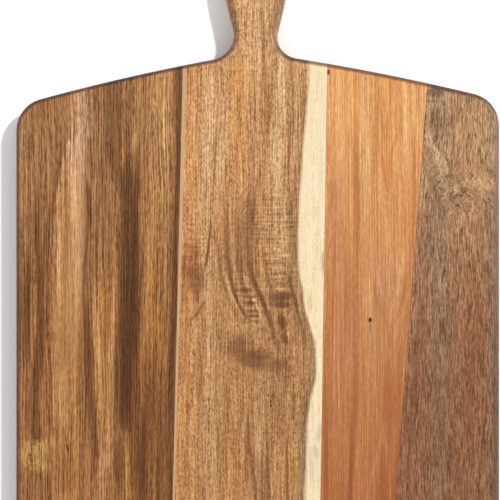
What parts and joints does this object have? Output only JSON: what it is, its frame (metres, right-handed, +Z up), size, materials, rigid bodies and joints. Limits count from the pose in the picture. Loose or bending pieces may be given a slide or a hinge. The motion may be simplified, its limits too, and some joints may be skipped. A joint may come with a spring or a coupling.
{
  "type": "paddle serving board",
  "caption": "Flat wooden serving board with sloped shoulders, rounded edges and a waisted handle with a hanging hole, edge-glued from planks.",
  "frame": {"origin": "middle of the length and width, on the underside", "axes": "+X across the board to the right seen from the handle's face, +Y along the board towards the handle, +Z up through the thickness"},
  "size_m": [0.305, 0.559, 0.018],
  "materials": {
    "brown_heartwood": "oiled satin, straight dark and golden stripes",
    "tan_heartwood": "oiled satin, wavy figure with a cream sapwood band",
    "orange_heartwood": "oiled satin, smooth and nearly plain",
    "grey_brown_heartwood": "oiled satin, short interlocked flecks",
    "cured_glue": "hairline of wood glue, sanded flush"
  },
  "bodies": {
    "root": {"left_plank": "brown_heartwood", "handle_plank": "tan_heartwood", "inner_right_plank": "orange_heartwood", "right_plank": "grey_brown_heartwood", "left_glue_line": "cured_glue", "middle_glue_line": "cured_glue", "right_glue_line": "cured_glue"}
  },
  "joints": []
}
